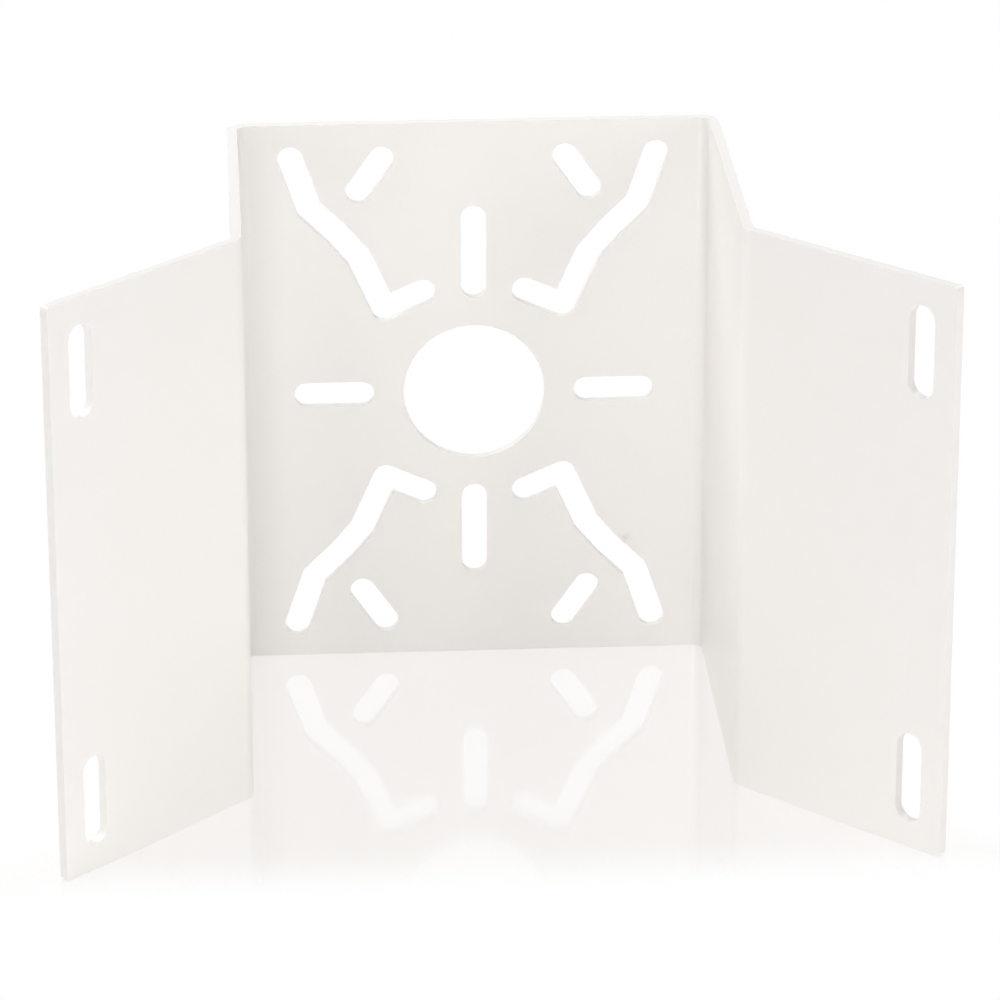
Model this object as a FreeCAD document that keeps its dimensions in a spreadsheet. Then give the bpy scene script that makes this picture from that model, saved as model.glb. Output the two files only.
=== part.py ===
"""Camera corner mount bracket: one folded sheet that carries a camera on the outside corner of a building.

The frame stands on the lower edges of the sheet: +Z is up, +Y points out from the building's corner through
the face plate, and the origin is the centre of the bottom of the bounding box. Millimetres throughout.
"""

import FreeCAD, Part
import math
import os
import Sketcher

# Driving dimensions, in millimetres and degrees. Each one is a cell of the sheet with the same name.
DIMENSIONS = {
    # The folded sheet
    "sheet_gauge": 3.0,
    "bend_radius": 3.0,
    "plate_width": 150.0,
    "plate_height": 176.0,
    "side_depth": 104.0,
    "wing_width": 77.0,
    "wing_angle": 45.0,
    "wing_corner_radius": 1.5,
    # The two upright slots in each wing, for the wall anchors: the middle, from the wing's end and edge
    "wing_slot_width": 9.0,
    "wing_slot_length": 28.0,
    "wing_slot_inset": 12.0,
    "wing_slot_margin": 22.0,
    # The face plate's cable hole, and the straight slots round it with the web of sheet between
    "cable_hole_diameter": 44.0,
    "slot_width": 8.0,
    "straight_slot_web": 9.0,
    "upright_slot_length": 30.0,
    "level_slot_length": 25.0,
    # The short slanted slot near each corner of the plate: its middle, from the plate's side and edge
    "corner_slot_length": 20.5,
    "corner_slot_inset": 43.25,
    "corner_slot_margin": 16.5,
    "corner_slot_angle": 55.0,
    # The hooked slot's middle line. Its outer corners are measured from the plate's side and edge
    "hook_tip_inset": 19.0,
    "hook_tip_margin": 11.0,
    "hook_shoulder_inset": 24.5,
    "hook_shoulder_margin": 27.0,
    "hook_elbow_inset": 33.0,
    "hook_elbow_margin": 35.25,
    "hook_knee_inset": 39.75,
    "hook_knee_margin": 43.25,
    # Its heel and toe lie round the cable hole, and are measured from the hole's centre
    "hook_heel_across": 27.75,
    "hook_heel_rise": 28.0,
    "hook_toe_across": 15.75,
    "hook_toe_rise": 33.25,
}

# Places that are worked out from the dimensions, as expressions in the document's own language.
WING_ANGLE = "Sizes.wing_angle * 1 deg"
OVERALL_DEPTH = f"(Sizes.sheet_gauge + Sizes.side_depth + Sizes.wing_width * cos({WING_ANGLE}))"
INNER_HALF_WIDTH = "(Sizes.plate_width / 2 - Sizes.sheet_gauge)"
WING_END_ACROSS = f"({INNER_HALF_WIDTH} + Sizes.wing_width * sin({WING_ANGLE}))"
MID_HEIGHT = "Sizes.plate_height / 2"

# Sketcher's numbers for the ends and centre of an edge, and for the sketch's own axes and origin.
START, END, CENTRE = range(1, 4)
LEVEL_AXIS, UPRIGHT_AXIS = -1, -2
ORIGIN = (LEVEL_AXIS, START)

QUARTER_TURN = math.pi / 2
HALF_TURN = math.pi

doc = FreeCAD.newDocument("camera_corner_mount_bracket")


def make_sheet():
    """Writes the driving dimensions into the sheet, a row each: name beside value, with the name as alias."""
    sheet = doc.addObject("Spreadsheet::Sheet", "Sizes")
    for row, (name, size) in enumerate(DIMENSIONS.items(), start=1):
        sheet.set(f"A{row}", name)
        sheet.set(f"B{row}", str(size))
        sheet.setAlias(f"B{row}", name)
    doc.recompute()
    return sheet


def value(expression):
    """The number that an expression gives with the sheet's present sizes, angles in degrees."""
    result = sizes.evalExpression(expression)
    return float(getattr(result, "Value", result))


def point(x, y):
    return FreeCAD.Vector(x, y, 0)


def make_sketch(name, plane_role):
    """A sketch on one of the body's own origin planes."""
    sketch = bracket.newObject("Sketcher::SketchObject", name)
    plane = next(item for item in bracket.Origin.OriginFeatures if item.Role == plane_role)
    sketch.AttachmentSupport = (plane, [""])
    sketch.MapMode = "FlatFace"
    return sketch


def bind(sketch, name, expression, kind, *where):
    """Adds a dimension to a sketch under a name, and ties it to the sheet."""
    number = value(expression)
    if kind == "Angle":
        number = math.radians(number)
    index = sketch.addConstraint(Sketcher.Constraint(kind, *where, number))
    sketch.renameConstraint(index, name)
    sketch.setExpression(f"Constraints.{name}", expression)


def constrain(sketch, kind, *where):
    sketch.addConstraint(Sketcher.Constraint(kind, *where))


def add_line(sketch, start, end, construction=False):
    return sketch.addGeometry(Part.LineSegment(start, end), construction)


def add_arc(sketch, centre, radius, first_angle, last_angle):
    """An arc that runs anticlockwise from the first angle to the last, in radians."""
    circle = Part.Circle(centre, FreeCAD.Vector(0, 0, 1), radius)
    return sketch.addGeometry(Part.ArcOfCircle(circle, first_angle, last_angle), False)


def at_angle(centre, radius, angle):
    return point(centre.x + radius * math.cos(angle), centre.y + radius * math.sin(angle))


def place_corner(sketch, name, edge, end, across, rise):
    """Fixes one end of an edge by its distances from the sketch's origin. None puts it on that axis."""
    if across is None:
        constrain(sketch, "PointOnObject", edge, end, UPRIGHT_AXIS)
    else:
        bind(sketch, f"{name}_across", across, "DistanceX", *ORIGIN, edge, end)
    if rise is None:
        constrain(sketch, "PointOnObject", edge, end, LEVEL_AXIS)
    else:
        bind(sketch, f"{name}_rise", rise, "DistanceY", *ORIGIN, edge, end)


def draw_slot(sketch, name, corners, width):
    """Draws a slot of one width along a path, as a round cutter leaves it.

    corners are pairs of expressions, (across, rise), for the path's corners. The ends and the outside of
    each bend are arcs about the path's corners. The inside of each bend is sharp.
    """
    radius = value(width) / 2
    path = [point(*(0 if size is None else value(size) for size in corner)) for corner in corners]
    steps = [(after - before).normalize() for before, after in zip(path, path[1:])]
    lefts = [point(-step.y, step.x) for step in steps]
    turns = [before.x * after.y - before.y * after.x for before, after in zip(steps, steps[1:])]
    bends = [None, *turns, None]

    spine = [add_line(sketch, before, after, True) for before, after in zip(path, path[1:])]
    for before, after in zip(spine, spine[1:]):
        constrain(sketch, "Coincident", before, END, after, START)
    for index, (across, rise) in enumerate(corners):
        edge, end = (spine[index], START) if index < len(spine) else (spine[-1], END)
        place_corner(sketch, f"{name}_{index}", edge, end, across, rise)

    def inside(corner, side):
        """True if the path bends towards this side at this corner, so that the outline is sharp there."""
        return bends[corner] is not None and bends[corner] * side > 0

    def offset(corner, step, side):
        """Where the outline's line beside a step of the path meets a corner."""
        if not inside(corner, side):
            return path[corner] + lefts[step] * (radius * side)
        both = lefts[corner - 1] + lefts[corner]
        return path[corner] + both * (radius * side / (1 + lefts[corner - 1].dot(lefts[corner])))

    outline = {}
    for side in (1, -1):
        for step in range(len(spine)):
            ends = (offset(step, step, side), offset(step + 1, step, side))
            outline[step, side] = add_line(sketch, *ends)

    arcs = []

    def round_off(corner, first, last):
        """An arc about a corner, anticlockwise from one end of an outline line to an end of another."""
        angles = []
        for line, end in (first, last):
            spot = sketch.getPoint(line, end) - path[corner]
            angles.append(math.atan2(spot.y, spot.x))
        if angles[1] < angles[0]:
            angles[1] += 2 * HALF_TURN
        arc = add_arc(sketch, path[corner], radius, *angles)
        middle = (spine[corner], START) if corner < len(spine) else (spine[-1], END)
        constrain(sketch, "Coincident", arc, CENTRE, *middle)
        constrain(sketch, "Tangent", arc, START, *first)
        constrain(sketch, "Tangent", arc, END, *last)
        if arcs:
            constrain(sketch, "Equal", arc, arcs[0])
        else:
            bind(sketch, f"{name}_radius", f"{width} / 2", "Radius", arc)
        arcs.append(arc)

    final = len(spine) - 1
    round_off(0, (outline[0, 1], START), (outline[0, -1], START))
    for corner in range(1, len(spine)):
        if bends[corner] > 0:
            round_off(corner, (outline[corner - 1, -1], END), (outline[corner, -1], START))
        else:
            round_off(corner, (outline[corner, 1], START), (outline[corner - 1, 1], END))
    round_off(len(spine), (outline[final, -1], END), (outline[final, 1], END))

    for (step, side), line in outline.items():
        sharp_start, sharp_end = inside(step, side), inside(step + 1, side)
        if sharp_start or sharp_end:
            constrain(sketch, "Parallel", line, spine[step])
        if sharp_start and sharp_end:
            bind(sketch, f"{name}_offset_{step}", f"{width} / 2", "Distance", line, START, spine[step])
        if sharp_end:
            constrain(sketch, "Coincident", line, END, outline[step + 1, side], START)


def draw_half_section(sketch):
    """Half the folded sheet from above, from the middle of the face plate round to the end of one wing."""
    gauge = value("Sizes.sheet_gauge")
    inside_radius = value("Sizes.bend_radius")
    outside_radius = inside_radius + gauge
    outer_side = value("Sizes.plate_width / 2")
    inner_side = value(INNER_HALF_WIDTH)
    angle = math.radians(value(WING_ANGLE))
    fold_corner = point(inner_side, -value("Sizes.sheet_gauge + Sizes.side_depth"))
    wing_way = point(math.sin(angle), -math.cos(angle))
    wing_out = point(math.cos(angle), math.sin(angle))
    inner_end = fold_corner + wing_way * value("Sizes.wing_width")
    outer_end = inner_end + wing_out * gauge
    plate_bend = point(outer_side - outside_radius, -outside_radius)
    wing_bend = point(outer_side + inside_radius, fold_corner.y + outside_radius * math.tan(angle / 2))
    wing_turn = HALF_TURN + angle

    middle = add_line(sketch, point(0, -gauge), point(0, 0))
    plate_outside = add_line(sketch, point(0, 0), at_angle(plate_bend, outside_radius, QUARTER_TURN))
    plate_bend_outside = add_arc(sketch, plate_bend, outside_radius, 0, QUARTER_TURN)
    side_outside = add_line(
        sketch, at_angle(plate_bend, outside_radius, 0), at_angle(wing_bend, inside_radius, HALF_TURN)
    )
    wing_bend_outside = add_arc(sketch, wing_bend, inside_radius, HALF_TURN, wing_turn)
    wing_outside = add_line(sketch, at_angle(wing_bend, inside_radius, wing_turn), outer_end)
    wing_end = add_line(sketch, outer_end, inner_end)
    wing_inside = add_line(sketch, inner_end, at_angle(wing_bend, outside_radius, wing_turn))
    wing_bend_inside = add_arc(sketch, wing_bend, outside_radius, HALF_TURN, wing_turn)
    side_inside = add_line(
        sketch, at_angle(wing_bend, outside_radius, HALF_TURN), at_angle(plate_bend, inside_radius, 0)
    )
    plate_bend_inside = add_arc(sketch, plate_bend, inside_radius, 0, QUARTER_TURN)
    plate_inside = add_line(sketch, at_angle(plate_bend, inside_radius, QUARTER_TURN), point(0, -gauge))
    fold = sketch.addGeometry(Part.Point(fold_corner), True)

    constrain(sketch, "Coincident", middle, END, *ORIGIN)
    constrain(sketch, "PointOnObject", middle, START, UPRIGHT_AXIS)
    constrain(sketch, "Coincident", middle, END, plate_outside, START)
    constrain(sketch, "Tangent", plate_outside, END, plate_bend_outside, END)
    constrain(sketch, "Tangent", plate_bend_outside, START, side_outside, START)
    constrain(sketch, "Tangent", side_outside, END, wing_bend_outside, START)
    constrain(sketch, "Tangent", wing_bend_outside, END, wing_outside, START)
    constrain(sketch, "Coincident", wing_outside, END, wing_end, START)
    constrain(sketch, "Coincident", wing_end, END, wing_inside, START)
    constrain(sketch, "Tangent", wing_inside, END, wing_bend_inside, END)
    constrain(sketch, "Tangent", wing_bend_inside, START, side_inside, START)
    constrain(sketch, "Tangent", side_inside, END, plate_bend_inside, START)
    constrain(sketch, "Tangent", plate_bend_inside, END, plate_inside, START)
    constrain(sketch, "Coincident", plate_inside, END, middle, START)
    constrain(sketch, "Coincident", plate_bend_outside, CENTRE, plate_bend_inside, CENTRE)
    constrain(sketch, "Coincident", wing_bend_outside, CENTRE, wing_bend_inside, CENTRE)
    constrain(sketch, "Horizontal", plate_outside)
    constrain(sketch, "Horizontal", plate_inside)
    constrain(sketch, "Vertical", side_outside)
    constrain(sketch, "Vertical", side_inside)
    constrain(sketch, "Parallel", wing_outside, wing_inside)
    constrain(sketch, "Perpendicular", wing_end, wing_inside)
    constrain(sketch, "PointOnObject", fold, START, side_inside)
    constrain(sketch, "PointOnObject", fold, START, wing_inside)

    bind(sketch, "gauge", "Sizes.sheet_gauge", "Distance", middle)
    bind(sketch, "half_width", "Sizes.plate_width / 2", "DistanceX", *ORIGIN, side_outside, START)
    bind(sketch, "plate_bend", "Sizes.bend_radius", "Radius", plate_bend_inside)
    bind(sketch, "wing_bend", "Sizes.bend_radius", "Radius", wing_bend_outside)
    bind(sketch, "side_depth", "Sizes.side_depth", "DistanceY", fold, START, middle, START)
    bind(sketch, "wing_width", "Sizes.wing_width", "Distance", fold, START, wing_inside, START)
    bind(sketch, "wing_angle", f"90 deg + {WING_ANGLE}", "Angle", wing_inside)


def cut_through(name, sketch):
    """Cuts a sketch through the sheet, and stops if nothing was cut."""
    before = bracket.Tip.Shape.Volume
    pocket = bracket.newObject("PartDesign::Pocket", name)
    pocket.Profile = sketch
    pocket.Type = "ThroughAll"
    doc.recompute()
    if pocket.Shape.isNull() or pocket.Shape.Volume >= before:
        raise RuntimeError(f"{name} cut nothing")
    return pocket


def mirror(name, original, plane):
    """Repeats a feature on the other side of a plane, and makes the result the body's newest state."""
    mirrored = bracket.newObject("PartDesign::Mirrored", name)
    mirrored.Originals = [original]
    mirrored.MirrorPlane = plane
    mirrored.Refine = True
    bracket.Tip = mirrored
    doc.recompute()
    return mirrored


def fold_sheet():
    """The sheet itself: half its section from above, raised to the plate's height and mirrored."""
    section = make_sketch("FoldedHalfSection", "XY_Plane")
    draw_half_section(section)
    section.setExpression("AttachmentOffset.Base.y", f"{OVERALL_DEPTH} / 2")
    doc.recompute()
    half = bracket.newObject("PartDesign::Pad", "HalfSheet")
    half.Profile = section
    half.setExpression("Length", "Sizes.plate_height")
    doc.recompute()
    middle_plane = next(item for item in bracket.Origin.OriginFeatures if item.Role == "YZ_Plane")
    mirror("WholeSheet", half, (middle_plane, [""]))
    return middle_plane


def make_face_sketch(name):
    """A sketch that looks at the face plate from behind, with its origin at the centre of the plate."""
    sketch = make_sketch(name, "XZ_Plane")
    sketch.setExpression("AttachmentOffset.Base.y", MID_HEIGHT)
    return sketch


def cut_cable_hole():
    """The round hole in the middle of the plate, which the camera's cables come through."""
    sketch = make_face_sketch("CableHoleCircle")
    circle = sketch.addGeometry(
        Part.Circle(point(0, 0), FreeCAD.Vector(0, 0, 1), value("Sizes.cable_hole_diameter / 2")), False
    )
    constrain(sketch, "Coincident", circle, CENTRE, *ORIGIN)
    bind(sketch, "diameter", "Sizes.cable_hole_diameter", "Diameter", circle)
    doc.recompute()
    cut_through("CableHole", sketch)


def cut_straight_slots():
    """The slot above the cable hole and the one beside it, and their mirror images."""
    near = "Sizes.cable_hole_diameter / 2 + Sizes.straight_slot_web + Sizes.slot_width / 2"
    upright_far = f"{near} + Sizes.upright_slot_length - Sizes.slot_width"
    level_far = f"{near} + Sizes.level_slot_length - Sizes.slot_width"

    upright = make_face_sketch("UprightSlotOutline")
    draw_slot(upright, "upright", [(None, near), (None, upright_far)], "Sizes.slot_width")
    doc.recompute()
    mirror("UprightSlots", cut_through("UprightSlot", upright), (upright, ["H_Axis"]))

    level = make_face_sketch("LevelSlotOutline")
    draw_slot(level, "level", [(near, None), (level_far, None)], "Sizes.slot_width")
    doc.recompute()
    mirror("LevelSlots", cut_through("LevelSlot", level), (level, ["V_Axis"]))


def from_plate_corner(name):
    """A place from the plate's centre, for what is measured from the plate's side and edge."""
    return (
        f"Sizes.plate_width / 2 - Sizes.{name}_inset",
        f"Sizes.plate_height / 2 - Sizes.{name}_margin",
    )


def cut_quadrant_slots():
    """The hooked slot and the short slanted slot of one quadrant of the plate, and the same in the others."""
    sketch = make_face_sketch("QuadrantSlotOutlines")
    hook = [from_plate_corner(f"hook_{corner}") for corner in ("tip", "shoulder", "elbow", "knee")]
    hook += [(f"Sizes.hook_{corner}_across", f"Sizes.hook_{corner}_rise") for corner in ("heel", "toe")]
    draw_slot(sketch, "hook", hook, "Sizes.slot_width")

    half_run = "(Sizes.corner_slot_length - Sizes.slot_width) / 2"
    run_across = f"{half_run} * cos(Sizes.corner_slot_angle * 1 deg)"
    run_rise = f"{half_run} * sin(Sizes.corner_slot_angle * 1 deg)"
    across, rise = from_plate_corner("corner_slot")
    inner_end = (f"{across} - {run_across}", f"{rise} + {run_rise}")
    outer_end = (f"{across} + {run_across}", f"{rise} - {run_rise}")
    draw_slot(sketch, "corner", [inner_end, outer_end], "Sizes.slot_width")
    doc.recompute()
    pocket = cut_through("QuadrantSlots", sketch)

    mirrors = []
    for name, axis in (("AcrossThePlate", "V_Axis"), ("UpThePlate", "H_Axis")):
        mirrored = doc.addObject("PartDesign::Mirrored", name)
        mirrored.MirrorPlane = (sketch, [axis])
        mirrors.append(mirrored)
    everywhere = bracket.newObject("PartDesign::MultiTransform", "AllQuadrantSlots")
    everywhere.Originals = [pocket]
    for mirrored in mirrors:
        bracket.addObject(mirrored)
    everywhere.Transformations = mirrors
    everywhere.Refine = True
    bracket.Tip = everywhere
    doc.recompute()


def cut_wing_slots(middle_plane):
    """Two upright slots near the end of one wing, square to it, and the same two in the other wing."""
    sketch = make_sketch("WingSlotOutlines", "XZ_Plane")
    turn = f"90 deg - {WING_ANGLE}"
    turn_axis = FreeCAD.Vector(0, -1, 0)
    sketch.AttachmentOffset = FreeCAD.Placement(FreeCAD.Vector(), FreeCAD.Rotation(turn_axis, value(turn)))
    sketch.setExpression("AttachmentOffset.Rotation.Angle", turn)
    sketch.setExpression("AttachmentOffset.Base.x", WING_END_ACROSS)
    sketch.setExpression("AttachmentOffset.Base.y", MID_HEIGHT)
    sketch.setExpression("AttachmentOffset.Base.z", f"{OVERALL_DEPTH} / 2")
    half_run = "(Sizes.wing_slot_length - Sizes.wing_slot_width) / 2"
    middle = f"({MID_HEIGHT} - Sizes.wing_slot_margin)"
    inset = "-Sizes.wing_slot_inset"
    draw_slot(
        sketch, "upper", [(inset, f"{middle} - {half_run}"), (inset, f"{middle} + {half_run}")],
        "Sizes.wing_slot_width",
    )
    draw_slot(
        sketch, "lower", [(inset, f"-{middle} - {half_run}"), (inset, f"-{middle} + {half_run}")],
        "Sizes.wing_slot_width",
    )
    doc.recompute()
    mirror("WingSlots", cut_through("OneWingsSlots", sketch), (middle_plane, [""]))


def round_wing_corners():
    """Takes the points off the wings' four free corners."""
    gauge = value("Sizes.sheet_gauge")
    wing_end = value(WING_END_ACROSS)
    height = value("Sizes.plate_height")
    close = 1e-4
    corners = []
    for number, edge in enumerate(bracket.Tip.Shape.Edges, start=1):
        middle = edge.CenterOfMass
        crosses_sheet = abs(edge.Length - gauge) < close and abs(middle.x) > wing_end
        at_top_or_foot = min(abs(middle.z), abs(middle.z - height)) < close
        if crosses_sheet and at_top_or_foot:
            corners.append(f"Edge{number}")
    if not corners:
        raise RuntimeError("no wing corners were found")
    base = bracket.Tip
    fillet = bracket.newObject("PartDesign::Fillet", "RoundedWingCorners")
    fillet.Base = (base, corners)
    fillet.setExpression("Radius", "Sizes.wing_corner_radius")
    bracket.Tip = fillet
    doc.recompute()


def check_document():
    """Stops the build if any object failed, or the bracket isn't one valid solid."""
    for item in doc.Objects:
        if "Invalid" in item.State or "Error" in item.State:
            raise RuntimeError(f"{item.Name} failed: {item.State}")
    shape = bracket.Shape
    if shape.isNull() or not shape.isValid():
        raise RuntimeError("the bracket has no valid shape")
    if len(shape.Solids) != 1:
        raise RuntimeError(f"the bracket has {len(shape.Solids)} solids")


sizes = make_sheet()
bracket = doc.addObject("PartDesign::Body", "Bracket")
bracket.Label = "corner_bracket"
plane_of_symmetry = fold_sheet()
cut_cable_hole()
cut_straight_slots()
cut_quadrant_slots()
cut_wing_slots(plane_of_symmetry)
round_wing_corners()
check_document()

os.makedirs("parts", exist_ok=True)
bracket.Shape.exportStep(f"parts/{bracket.Label}.step")
box = bracket.Shape.optimalBoundingBox()
print(f"{bracket.Label}: volume {bracket.Shape.Volume:.1f} mm3")
print(f"from ({box.XMin:.3f}, {box.YMin:.3f}, {box.ZMin:.3f})")
print(f"to ({box.XMax:.3f}, {box.YMax:.3f}, {box.ZMax:.3f})")
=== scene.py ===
"""Looks of the camera corner mount bracket: one folded sheet in warm white powder coat, on a pale glossy floor."""

import math
import bpy
from mathutils import Matrix, Vector


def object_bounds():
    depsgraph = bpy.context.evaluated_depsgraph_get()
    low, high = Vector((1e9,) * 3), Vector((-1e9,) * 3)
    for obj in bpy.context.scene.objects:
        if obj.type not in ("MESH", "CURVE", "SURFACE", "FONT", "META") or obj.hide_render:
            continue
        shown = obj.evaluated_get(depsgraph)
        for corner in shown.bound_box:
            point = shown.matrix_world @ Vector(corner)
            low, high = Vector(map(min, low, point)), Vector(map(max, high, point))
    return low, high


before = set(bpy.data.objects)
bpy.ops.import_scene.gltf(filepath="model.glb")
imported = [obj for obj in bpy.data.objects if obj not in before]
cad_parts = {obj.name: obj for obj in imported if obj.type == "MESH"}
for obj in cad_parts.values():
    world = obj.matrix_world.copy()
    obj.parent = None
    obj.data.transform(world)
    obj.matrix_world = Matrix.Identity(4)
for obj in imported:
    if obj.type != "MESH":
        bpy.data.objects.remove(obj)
cad_low, cad_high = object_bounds()
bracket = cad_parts["corner_bracket"]
scene = bpy.context.scene

# The camera's place and lens: metres, degrees, and the lens in millimetres on a sensor of the given width
CAMERA_AIM = Vector((0.0034, 0.0, 0.0829))
CAMERA_DISTANCE = 1.5536
CAMERA_AZIMUTH = 3.42
CAMERA_ELEVATION = 22.09
CAMERA_ROLL = -0.09
CAMERA_LENS = 187.62
CAMERA_NEAREST = 0.05
CAMERA_FARTHEST = 50.0
SENSOR_WIDTH = 36.0

# The powder coat, colours linear: its tint and its slightly creamier patches, with their width in metres
COAT_COLOUR = (0.90, 0.877, 0.853, 1.0)
COAT_COLOUR_THICK = (0.892, 0.867, 0.838, 1.0)
COAT_PATCH_SIZE = 0.045
COAT_PATCH_DETAIL = 3.0
COAT_IOR = 1.5

# The coat is smoothest where the patches' noise is low and dullest where it is high
COAT_ROUGHNESS = (0.31, 0.37)
COAT_PATCH_LEVELS = (0.3, 0.7)

# The coat's orange peel: the width of its dimples and their depth
PEEL_WIDTH = 0.0018
PEEL_DEPTH = 0.000006
PEEL_DETAIL = 1.0

# The coat rounds the cut edges, which are the only ones sharper than this many degrees
COAT_EDGE_RADIUS = 0.0003
COAT_EDGE_SEGMENTS = 3
COAT_EDGE_ANGLE = 40

# The mesh's twin points are joined within the first distance, and its faces are flat within so many degrees
WELD_DISTANCE = 1e-6
FLAT_ANGLE = 1

# A small grey spot beside the lower right hooked slot, on the face that the camera sees, ragged and fading
# outwards
GREY_SPOT_COLOUR = (0.60, 0.59, 0.575, 1.0)
GREY_SPOT_PLACE = (0.0475, 0.0777, 0.0375)
GREY_SPOT_RADIUS = 0.0022
GREY_SPOT_GRAIN = GREY_SPOT_RADIUS / 2
GREY_SPOT_FADE = (GREY_SPOT_RADIUS / 2, GREY_SPOT_RADIUS * 1.5)
GREY_SPOT_SHARE = 0.42

# The studio: the world's plain light, and square soft boxes given as name, place, width and watts
WHITE = (1.0, 1.0, 1.0, 1.0)
WORLD_STRENGTH = 0.04
LAMP_TARGET = Vector((0.0, 0.0, 0.09))
LAMPS = (
    ("side_left", (-0.9, 0.0, 1.42), 0.9, 10.6),
    ("side_right", (0.9, 0.0, 1.42), 0.9, 3.9),
    ("behind_left", (-0.9, 0.9, 1.2), 0.8, 11.8),
    ("behind_right", (0.9, 0.9, 1.2), 0.8, 7.5),
    ("front_left", (-0.9, -1.8, 0.3), 0.5, 3.8),
    ("front_right", (1.3, -1.2, 0.6), 1.0, 8.5),
    ("front_low", (-0.08, -2.0, 0.25), 0.5, 12.3),
)

# The floor: its own pale grey for the light that it returns, and its faint warm mirror
FLOOR_HALF_WIDTH = 4.0
FLOOR_COLOUR = (0.92, 0.92, 0.92, 1.0)
FLOOR_ROUGHNESS = 0.5
FLOOR_MIRROR_COLOUR = (1.0, 0.965, 0.93, 1.0)
FLOOR_MIRROR_ROUGHNESS = 0.08

# Between the side walls and wings, the floor shows this much mirror, and this much white for the rest
FLOOR_MIRROR_SHARE = 0.4
FLOOR_WHITE_SHARE = 0.88
FLOOR_FADE_WIDTH = 0.035
FLOOR_FADE_START = 0.02
RECESS_HALF_WIDTH = 0.075


def make_camera():
    azimuth = math.radians(CAMERA_AZIMUTH)
    elevation = math.radians(CAMERA_ELEVATION)
    roll = math.radians(CAMERA_ROLL)
    forward = Vector((
        math.sin(azimuth) * math.cos(elevation),
        math.cos(azimuth) * math.cos(elevation),
        -math.sin(elevation),
    ))
    level_right = Vector((math.cos(azimuth), -math.sin(azimuth), 0.0))
    level_up = level_right.cross(forward)
    right = level_right * math.cos(roll) + level_up * math.sin(roll)
    up = level_up * math.cos(roll) - level_right * math.sin(roll)
    data = bpy.data.cameras.new("camera")
    data.sensor_width = SENSOR_WIDTH
    data.lens = CAMERA_LENS
    data.clip_start = CAMERA_NEAREST
    data.clip_end = CAMERA_FARTHEST
    camera = bpy.data.objects.new("camera", data)
    rotation = Matrix((right, up, -forward)).transposed().to_4x4()
    camera.matrix_world = Matrix.Translation(CAMERA_AIM - forward * CAMERA_DISTANCE) @ rotation
    scene.collection.objects.link(camera)
    scene.camera = camera


def add_node(tree, kind, **settings):
    node = tree.nodes.new(kind)
    for name, setting in settings.items():
        setattr(node, name, setting)
    return node


def feed(tree, socket, source):
    """Gives a socket its source, which is another node's output or a plain value."""
    if isinstance(source, bpy.types.NodeSocket):
        tree.links.new(source, socket)
    else:
        socket.default_value = source


def compute(tree, operation, *sources):
    node = add_node(tree, "ShaderNodeMath", operation=operation)
    for socket, source in zip(node.inputs, sources):
        feed(tree, socket, source)
    return node.outputs[0]


def remap(tree, source, from_low, from_high, to_low, to_high):
    """A smooth step between two levels of the source."""
    node = add_node(tree, "ShaderNodeMapRange", interpolation_type="SMOOTHSTEP")
    for name, value in (
        ("Value", source),
        ("From Min", from_low),
        ("From Max", from_high),
        ("To Min", to_low),
        ("To Max", to_high),
    ):
        feed(tree, node.inputs[name], value)
    return node.outputs["Result"]


def noise(tree, place, size, detail=2.0):
    node = add_node(tree, "ShaderNodeTexNoise")
    feed(tree, node.inputs["Vector"], place)
    node.inputs["Scale"].default_value = 1.0 / size
    node.inputs["Detail"].default_value = detail
    return node.outputs["Fac"]


def blend_colours(tree, share, first, second):
    node = add_node(tree, "ShaderNodeMix", data_type="RGBA")
    feed(tree, node.inputs["Factor"], share)
    colours = [socket for socket in node.inputs if socket.type == "RGBA"]
    feed(tree, colours[0], first)
    feed(tree, colours[1], second)
    return next(socket for socket in node.outputs if socket.type == "RGBA")


def blend_shaders(tree, share, first, second):
    node = add_node(tree, "ShaderNodeMixShader")
    feed(tree, node.inputs["Fac"], share)
    tree.links.new(first, node.inputs[1])
    tree.links.new(second, node.inputs[2])
    return node.outputs[0]


def seen_directly(tree):
    """1 for rays that show the background as it is: from the camera, by a reflection or through glass."""
    path = add_node(tree, "ShaderNodeLightPath")
    shown = compute(tree, "MAXIMUM", path.outputs["Is Camera Ray"], path.outputs["Is Glossy Ray"])
    return compute(tree, "MAXIMUM", shown, path.outputs["Is Transmission Ray"])


def make_world():
    """A faint even light for the bracket, shown as plain white."""
    world = bpy.data.worlds.new("studio")
    scene.world = world
    world.use_nodes = True
    tree = world.node_tree
    tree.nodes.clear()
    light = add_node(tree, "ShaderNodeBackground")
    light.inputs["Color"].default_value = WHITE
    light.inputs["Strength"].default_value = WORLD_STRENGTH
    backdrop = add_node(tree, "ShaderNodeBackground")
    backdrop.inputs["Color"].default_value = WHITE
    output = add_node(tree, "ShaderNodeOutputWorld")
    surface = blend_shaders(tree, seen_directly(tree), light.outputs[0], backdrop.outputs[0])
    tree.links.new(surface, output.inputs["Surface"])


def make_lamp(name, place, size, watts):
    """A square soft box at a place, facing the bracket."""
    data = bpy.data.lights.new(name, "AREA")
    data.shape = "SQUARE"
    data.size = size
    data.energy = watts
    lamp = bpy.data.objects.new(name, data)
    lamp.location = place
    lamp.rotation_euler = (LAMP_TARGET - Vector(place)).to_track_quat("-Z", "Y").to_euler()
    scene.collection.objects.link(lamp)


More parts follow.
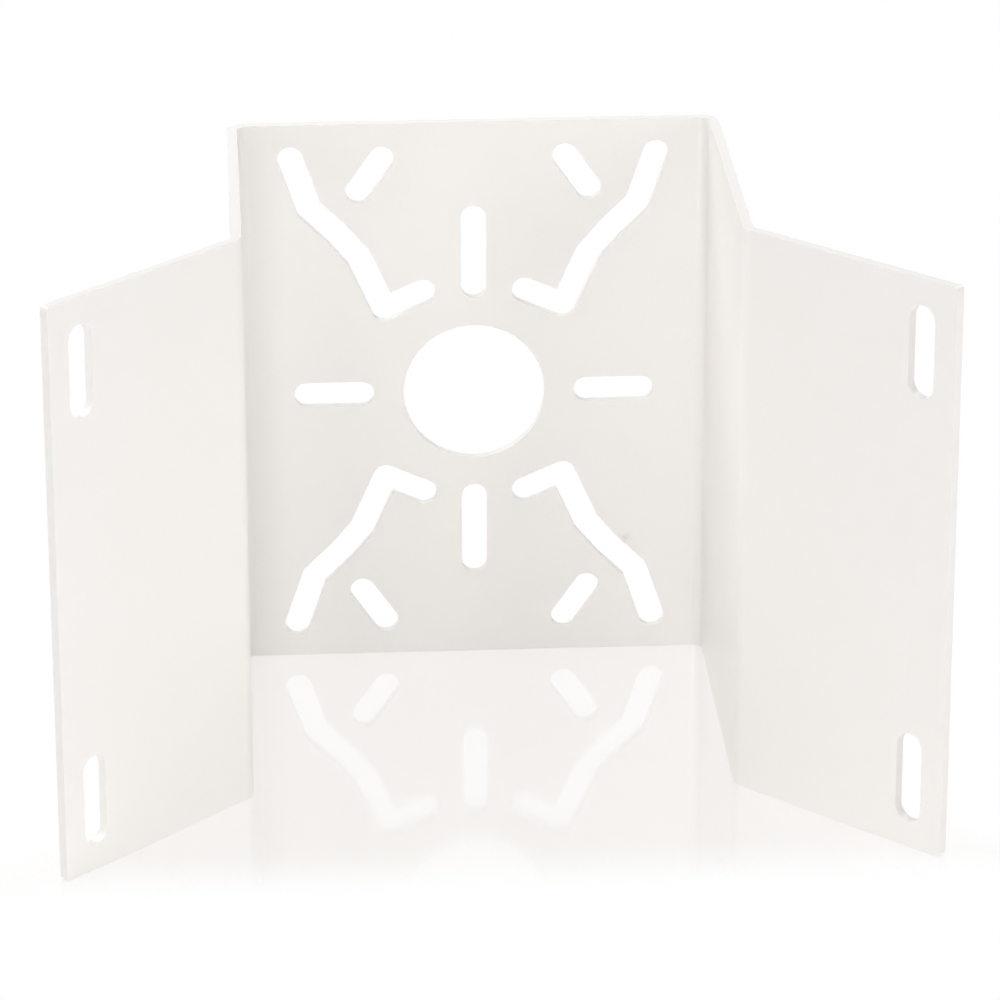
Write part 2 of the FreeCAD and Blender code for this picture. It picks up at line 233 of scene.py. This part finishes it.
def recess_share(tree):
    """1 on the floor between the side walls and the wings, fading to 0 around them and before the wings' ends."""
    geometry = add_node(tree, "ShaderNodeNewGeometry")
    place = add_node(tree, "ShaderNodeSeparateXYZ")
    tree.links.new(geometry.outputs["Position"], place.inputs[0])
    across = compute(tree, "ABSOLUTE", place.outputs["X"])
    along = place.outputs["Y"]
    reach, depth = cad_high[0], cad_high[1]
    between_wings = compute(tree, "SUBTRACT", reach - depth, along)
    half_width = compute(tree, "MAXIMUM", between_wings, RECESS_HALF_WIDTH)
    beside = compute(tree, "SUBTRACT", across, half_width)
    behind = compute(tree, "SUBTRACT", along, depth)
    before = compute(tree, "SUBTRACT", FLOOR_FADE_START - depth, along)
    outside = compute(tree, "MAXIMUM", compute(tree, "MAXIMUM", beside, behind), before)
    return remap(tree, outside, 0.0, FLOOR_FADE_WIDTH, 1.0, 0.0)


def make_floor_material():
    """A pale grey sheet for light, shown as white, with a faint mirror between the wings."""
    material = bpy.data.materials.new("floor_white")
    material.use_nodes = True
    tree = material.node_tree
    tree.nodes.clear()
    sheet = add_node(tree, "ShaderNodeBsdfPrincipled")
    sheet.inputs["Base Color"].default_value = FLOOR_COLOUR
    sheet.inputs["Roughness"].default_value = FLOOR_ROUGHNESS
    white = add_node(tree, "ShaderNodeEmission")
    white.inputs["Color"].default_value = WHITE
    mirror = add_node(tree, "ShaderNodeBsdfGlossy")
    mirror.inputs["Color"].default_value = FLOOR_MIRROR_COLOUR
    mirror.inputs["Roughness"].default_value = FLOOR_MIRROR_ROUGHNESS
    shown = seen_directly(tree)
    recess = recess_share(tree)
    bare = compute(tree, "MULTIPLY", recess, 1.0 - FLOOR_WHITE_SHARE)
    white_share = compute(tree, "MULTIPLY", compute(tree, "SUBTRACT", 1.0, bare), shown)
    mirror_share = compute(tree, "MULTIPLY", compute(tree, "MULTIPLY", recess, FLOOR_MIRROR_SHARE), shown)
    plain = blend_shaders(tree, white_share, sheet.outputs[0], white.outputs[0])
    surface = blend_shaders(tree, mirror_share, plain, mirror.outputs[0])
    output = add_node(tree, "ShaderNodeOutputMaterial")
    tree.links.new(surface, output.inputs["Surface"])
    return material


def make_floor():
    half = FLOOR_HALF_WIDTH
    corners = [(-half, -half, 0), (half, -half, 0), (half, half, 0), (-half, half, 0)]
    mesh = bpy.data.meshes.new("floor")
    mesh.from_pydata(corners, [], [(0, 1, 2, 3)])
    floor = bpy.data.objects.new("floor", mesh)
    scene.collection.objects.link(floor)
    mesh.materials.append(make_floor_material())


def grey_spot_share(tree, place):
    """How much of the small grey spot lies at a place on the coat."""
    away = add_node(tree, "ShaderNodeVectorMath", operation="DISTANCE")
    tree.links.new(place, away.inputs[0])
    away.inputs[1].default_value = GREY_SPOT_PLACE
    ragged = compute(tree, "MULTIPLY", noise(tree, place, GREY_SPOT_GRAIN), GREY_SPOT_RADIUS)
    distance = compute(tree, "ADD", away.outputs["Value"], ragged)
    return remap(tree, distance, *GREY_SPOT_FADE, GREY_SPOT_SHARE, 0.0)


def make_powder_coat():
    """Warm white with creamier patches that differ in gloss, an orange peel and one small grey spot."""
    material = bpy.data.materials.new("powder_coat")
    material.use_nodes = True
    tree = material.node_tree
    surface = tree.nodes["Principled BSDF"]
    surface.inputs["IOR"].default_value = COAT_IOR
    place = add_node(tree, "ShaderNodeTexCoord").outputs["Object"]
    patches = noise(tree, place, COAT_PATCH_SIZE, COAT_PATCH_DETAIL)
    tint = blend_colours(tree, patches, COAT_COLOUR, COAT_COLOUR_THICK)
    colour = blend_colours(tree, grey_spot_share(tree, place), tint, GREY_SPOT_COLOUR)
    tree.links.new(colour, surface.inputs["Base Color"])
    roughness = remap(tree, patches, *COAT_PATCH_LEVELS, *COAT_ROUGHNESS)
    tree.links.new(roughness, surface.inputs["Roughness"])
    peel = add_node(tree, "ShaderNodeBump")
    peel.inputs["Distance"].default_value = PEEL_DEPTH
    tree.links.new(noise(tree, place, PEEL_WIDTH, PEEL_DETAIL), peel.inputs["Height"])
    tree.links.new(peel.outputs["Normal"], surface.inputs["Normal"])
    return material


def dress_bracket():
    """Coats the CAD solid, and rounds its cut edges as the coat does."""
    material = make_powder_coat()
    for slot in bracket.material_slots:
        slot.material = material
    weld = bracket.modifiers.new("weld", "WELD")
    weld.merge_threshold = WELD_DISTANCE
    flat = bracket.modifiers.new("flat_faces", "DECIMATE")
    flat.decimate_type = "DISSOLVE"
    flat.angle_limit = math.radians(FLAT_ANGLE)
    bevel = bracket.modifiers.new("coated_edges", "BEVEL")
    bevel.width = COAT_EDGE_RADIUS
    bevel.segments = COAT_EDGE_SEGMENTS
    bevel.limit_method = "ANGLE"
    bevel.angle_limit = math.radians(COAT_EDGE_ANGLE)
    bevel.harden_normals = True


make_camera()
make_world()
make_floor()
for lamp in LAMPS:
    make_lamp(*lamp)
dress_bracket()
scene.view_settings.view_transform = "Standard"
